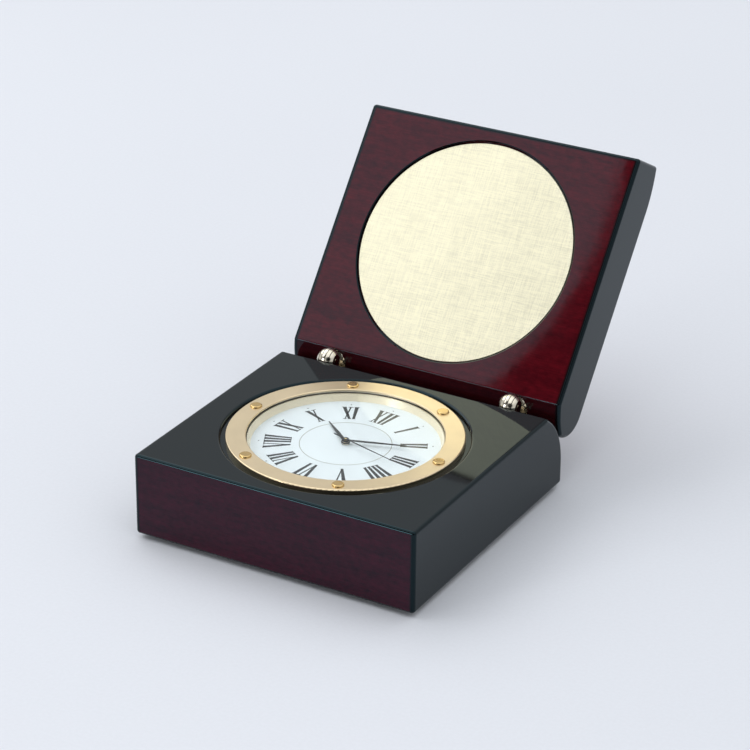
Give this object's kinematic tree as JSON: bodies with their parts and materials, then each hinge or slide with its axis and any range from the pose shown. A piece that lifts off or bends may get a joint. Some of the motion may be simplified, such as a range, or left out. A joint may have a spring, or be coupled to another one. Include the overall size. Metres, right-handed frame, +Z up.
{
  "type": "desk clock",
  "caption": "Desk clock set in the base of a square lacquered wooden box, with a hinged lid that stands open on its stop and holds a round blank plate.",
  "frame": {"origin": "centre of the plane that the feet stand on, midway between the box's sides and between its front and back", "axes": "+Z up, +X to the right along the hinge, +Y to the back, towards the hinge"},
  "size_m": [0.095, 0.155, 0.0924],
  "materials": {
    "lacquered_wood": "gloss lacquer over dark red-brown wood",
    "foot_felt": "matte",
    "hinge_brass": "polished",
    "brushed_plate": "cross-brushed pale gold",
    "adhesive_film": "matte film",
    "black_plastic": "moulded",
    "natural_plastic": "moulded",
    "white_plastic": "moulded",
    "soft_rubber": "matte",
    "gold_bezel": "satin gold plating",
    "gold_rivet": "polished gold plating",
    "crystal_glass": "clear",
    "gold_reflector": "satin gold paint",
    "dial_white": "satin white",
    "hand_dark": "satin black",
    "steel": "satin",
    "wheel_plastic": "moulded",
    "wheel_brass": "plain",
    "board_green": "board with solder mask",
    "chip_black": "moulded",
    "copper_wire": "enamelled copper",
    "contact_steel": "plated spring strip"
  },
  "bodies": {
    "base": {"base_body": "lacquered_wood", "feet": "foot_felt", "hinge_base_barrels": "hinge_brass", "hinge_base_leaves": "hinge_brass", "hinge_pins": "hinge_brass", "bezel": "gold_bezel", "bezel_screws": "gold_rivet", "crystal": "crystal_glass", "crystal_gasket": "soft_rubber", "reflector_ring": "gold_reflector", "dial": "dial_white", "insert_case": "black_plastic", "insert_grip_ring": "soft_rubber", "movement_holder": "natural_plastic", "main_plate": "white_plastic", "train_bridge": "white_plastic", "movement_cover": "black_plastic", "movement_screws": "steel", "stator": "steel", "coil_bobbin": "natural_plastic", "coil_winding": "copper_wire", "circuit_board": "board_green", "control_chip": "chip_black", "quartz_can": "steel", "battery": "steel", "battery_tube": "natural_plastic", "battery_side_contact": "contact_steel", "battery_end_contact": "contact_steel", "battery_hatch": "black_plastic"},
    "lid": {"lid_body": "lacquered_wood", "lid_plate": "brushed_plate", "lid_plate_adhesive": "adhesive_film", "hinge_lid_barrels": "hinge_brass", "hinge_lid_leaves": "hinge_brass"},
    "rotor": {"rotor": "steel"},
    "intermediate": {"intermediate_wheel": "wheel_plastic"},
    "seconds": {"second_wheel": "wheel_brass", "second_hand": "hand_dark"},
    "third": {"third_wheel": "wheel_plastic"},
    "minutes": {"centre_wheel": "wheel_brass", "minute_hand": "hand_dark"},
    "minute_work": {"minute_work_wheel": "wheel_plastic"},
    "hours": {"hour_wheel": "wheel_plastic", "hour_hand": "hand_dark"},
    "setting": {"setting_knob": "black_plastic"}
  },
  "joints": [
    {"name": "lid_swing", "type": "hinge", "parent": "base", "child": "lid", "pos_m": [0, 0.0402, 0.027], "axis": [1, 0, 0], "range_deg": [0, 128.5]},
    {"name": "seconds_turn", "type": "hinge", "parent": "base", "child": "seconds", "pos_m": [0, -0.0042, 0.0247], "axis": [0, 0, -1], "continuous": true},
    {"name": "minutes_turn", "type": "hinge", "parent": "base", "child": "minutes", "pos_m": [0, -0.0042, 0.0247], "axis": [0, 0, -1], "continuous": true},
    {"name": "hours_turn", "type": "hinge", "parent": "base", "child": "hours", "pos_m": [0, -0.0042, 0.0247], "axis": [0, 0, -1], "continuous": true},
    {"name": "third_turn", "type": "hinge", "parent": "base", "child": "third", "pos_m": [0.00509, -0.00452, 0.0247], "axis": [0, 0, -1], "continuous": true},
    {"name": "minute_work_turn", "type": "hinge", "parent": "base", "child": "minute_work", "pos_m": [0.0003, 0.00059, 0.0247], "axis": [0, 0, -1], "continuous": true},
    {"name": "intermediate_turn", "type": "hinge", "parent": "base", "child": "intermediate", "pos_m": [-0.00519, -0.00387, 0.0247], "axis": [0, 0, -1], "continuous": true},
    {"name": "rotor_turn", "type": "hinge", "parent": "base", "child": "rotor", "pos_m": [-0.00878, -0.00365, 0.0247], "axis": [0, 0, -1], "continuous": true},
    {"name": "setting_turn", "type": "hinge", "parent": "base", "child": "setting", "pos_m": [0.0006, 0.00538, 0.0247], "axis": [0, 0, -1], "continuous": true}
  ],
  "couplings": [
    {"joint": "third_turn", "follows": "seconds_turn", "ratio": -0.13333},
    {"joint": "minutes_turn", "follows": "seconds_turn", "ratio": 0.016667},
    {"joint": "minute_work_turn", "follows": "seconds_turn", "ratio": -0.0055556},
    {"joint": "hours_turn", "follows": "seconds_turn", "ratio": 0.0013889},
    {"joint": "intermediate_turn", "follows": "seconds_turn", "ratio": -6},
    {"joint": "rotor_turn", "follows": "seconds_turn", "ratio": 30},
    {"joint": "setting_turn", "follows": "seconds_turn", "ratio": 0.016667}
  ]
}
